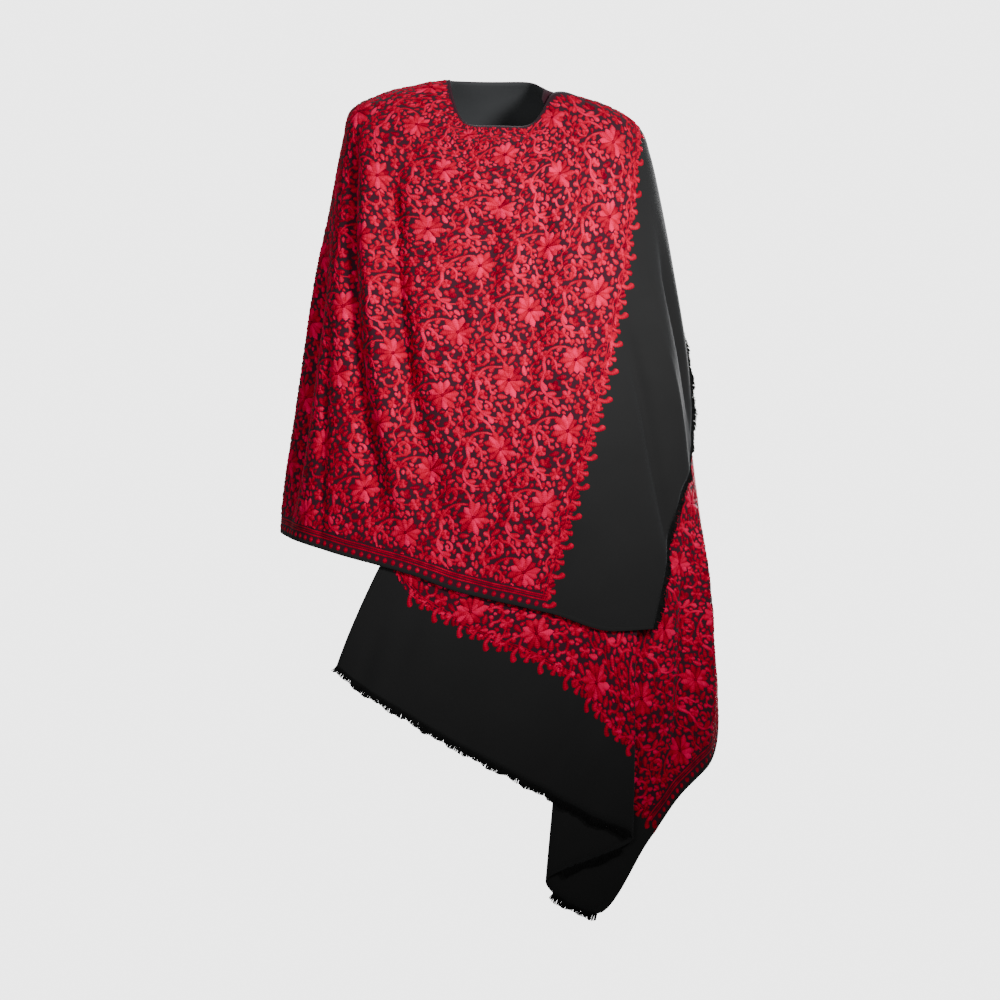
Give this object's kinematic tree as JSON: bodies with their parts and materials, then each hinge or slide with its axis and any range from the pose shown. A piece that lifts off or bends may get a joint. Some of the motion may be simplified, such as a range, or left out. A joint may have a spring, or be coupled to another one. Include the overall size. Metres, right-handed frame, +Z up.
{
  "type": "embroidered shawl",
  "caption": "Long fringed wool shawl with flowering-vine embroidery, worn wrapped across the chest with one end hanging in front.",
  "frame": {"origin": "between the wearer's shoulders, level with the line of the shoulders, where the body carries the cloth", "axes": "+Z up, -Y to the front of the worn shawl, +X to the right of someone who faces it"},
  "size_m": [0.6116, 0.3383, 1.1713],
  "materials": {
    "embroidered_wool": "matte black wool worked all over in crimson chain stitch",
    "fringe_yarn": "loose charcoal wool ends"
  },
  "bodies": {
    "root": {"front_stretch": "embroidered_wool", "back_stretch": "embroidered_wool", "hanging_end": "embroidered_wool", "fringe_front": "fringe_yarn", "fringe_hanging_front": "fringe_yarn", "fringe_hanging_middle": "fringe_yarn", "fringe_hanging_rear": "fringe_yarn"}
  },
  "joints": []
}
